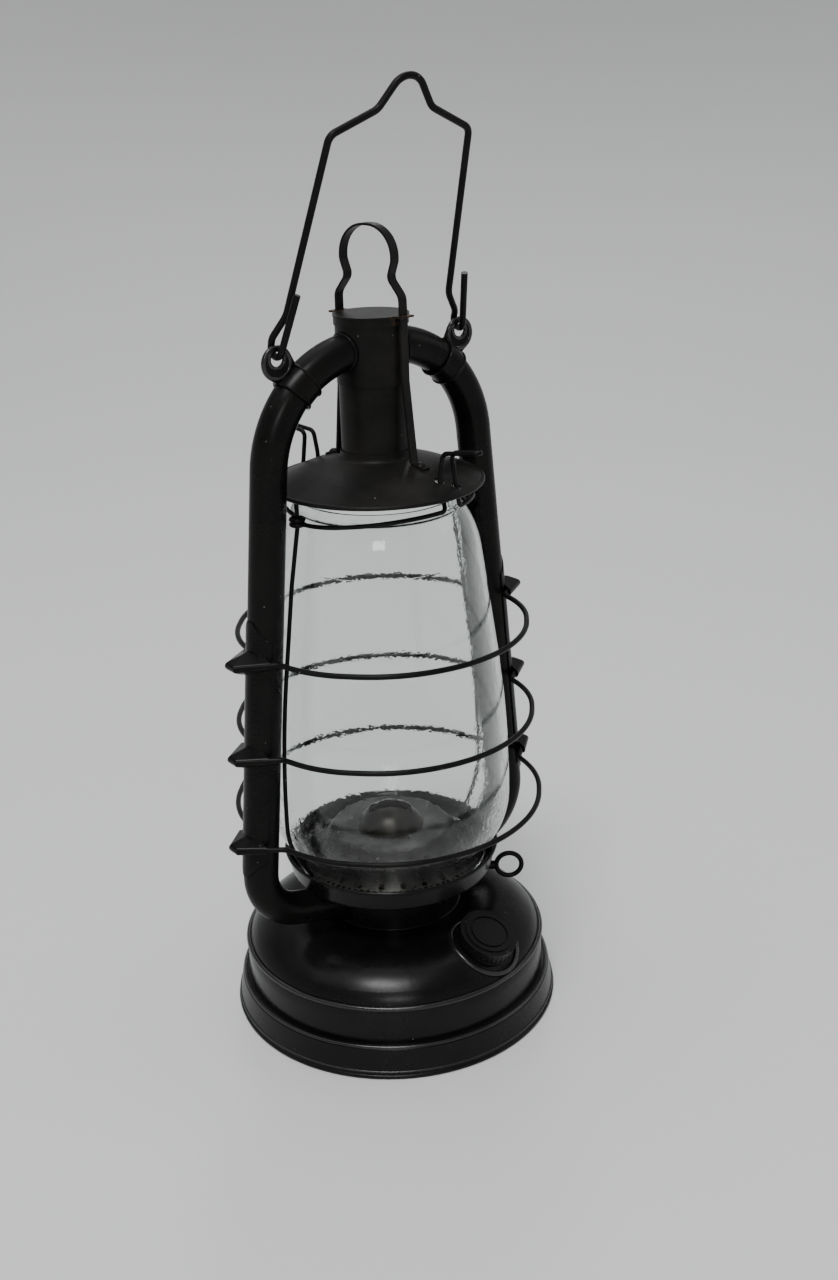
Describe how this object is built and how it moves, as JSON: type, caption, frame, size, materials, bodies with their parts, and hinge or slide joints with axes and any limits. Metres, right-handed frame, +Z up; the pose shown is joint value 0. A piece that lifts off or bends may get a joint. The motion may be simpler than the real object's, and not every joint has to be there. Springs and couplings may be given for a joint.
{
  "type": "storm lamp",
  "caption": "Old black steel kerosene storm lamp with side air tubes, clear glass globe in a wire cradle, lifting hood and wire bail.",
  "frame": {"origin": "centre of the base's underside, on the table", "axes": "+Z up along the globe's axis, air tubes along X, filler cap towards -Y"},
  "size_m": [0.1786, 0.16, 0.433],
  "materials": {
    "black_paint": "satin",
    "bare_steel": "satin",
    "brass": "satin",
    "spring_steel": "satin",
    "glass": "gloss",
    "cotton": "matte",
    "cork": "matte"
  },
  "bodies": {
    "lamp": {"base_skirt": "black_paint", "fount_bottom": "bare_steel", "fount_shell": "black_paint", "filler_neck": "black_paint", "air_chamber": "black_paint", "gallery_pan": "black_paint", "perforated_plate": "bare_steel", "burner_dome": "brass", "burner_collar": "brass", "burner_plug": "brass", "wick_tube": "brass", "spindle_bush": "brass", "left_air_tube": "black_paint", "right_air_tube": "black_paint", "left_guard_strip": "black_paint", "right_guard_strip": "black_paint", "guard_ring_upper": "black_paint", "guard_ring_middle": "black_paint", "guard_ring_lower": "black_paint", "canopy_head": "black_paint", "canopy_cap": "black_paint", "return_spring": "spring_steel", "left_bail_ear": "black_paint", "right_bail_ear": "black_paint"},
    "lift": {"hood": "black_paint", "chimney_tube": "black_paint", "lift_strap": "black_paint", "strap_rivets": "bare_steel", "globe": "glass", "front_cradle_bow": "black_paint", "back_cradle_bow": "black_paint", "left_cradle_leg": "black_paint", "right_cradle_leg": "black_paint", "cradle_bottom_ring": "black_paint"},
    "bail_body": {"bail": "black_paint"},
    "key": {"wick_spindle": "bare_steel", "feed_wheels": "bare_steel", "wick_key": "black_paint"},
    "wick_body": {"wick": "cotton"},
    "gasket": {"cap_gasket": "cork"},
    "cap": {"filler_cap": "black_paint"}
  },
  "joints": [
    {"name": "hood_lift", "type": "slide", "parent": "lamp", "child": "lift", "axis": [0, 0, 1], "range_m": [0, 0.016], "stiffness_N_per_m": 200, "springref_m": -0.01, "deforming": ["return_spring"]},
    {"name": "bail_swing", "type": "hinge", "parent": "lamp", "child": "bail_body", "pos_m": [0, 0, 0.3284], "axis": [1, 0, 0], "range_deg": [-132, 98]},
    {"name": "wick_key_turn", "type": "hinge", "parent": "lamp", "child": "key", "pos_m": [-0.00283, -0.00375, 0.0675], "axis": [0.7986, -0.6018, 0], "range_deg": [-160, 65]},
    {"name": "wick_raise", "type": "slide", "parent": "lamp", "child": "wick_body", "axis": [0, 0, 1], "range_m": [-0.01, 0.004]},
    {"name": "gasket_lift", "type": "slide", "parent": "lamp", "child": "gasket", "axis": [0.0691, -0.3917, 0.9175], "range_m": [0, 0.004]},
    {"name": "filler_cap_turn", "type": "hinge", "parent": "gasket", "child": "cap", "pos_m": [0.01016, -0.05761, 0.04681], "axis": [0.0691, -0.3917, 0.9175], "range_deg": [0, 720]}
  ],
  "couplings": [
    {"joint": "wick_raise", "follows": "wick_key_turn", "m_per_rad": 0.0035},
    {"joint": "gasket_lift", "follows": "filler_cap_turn", "m_per_rad": 0.000318}
  ]
}
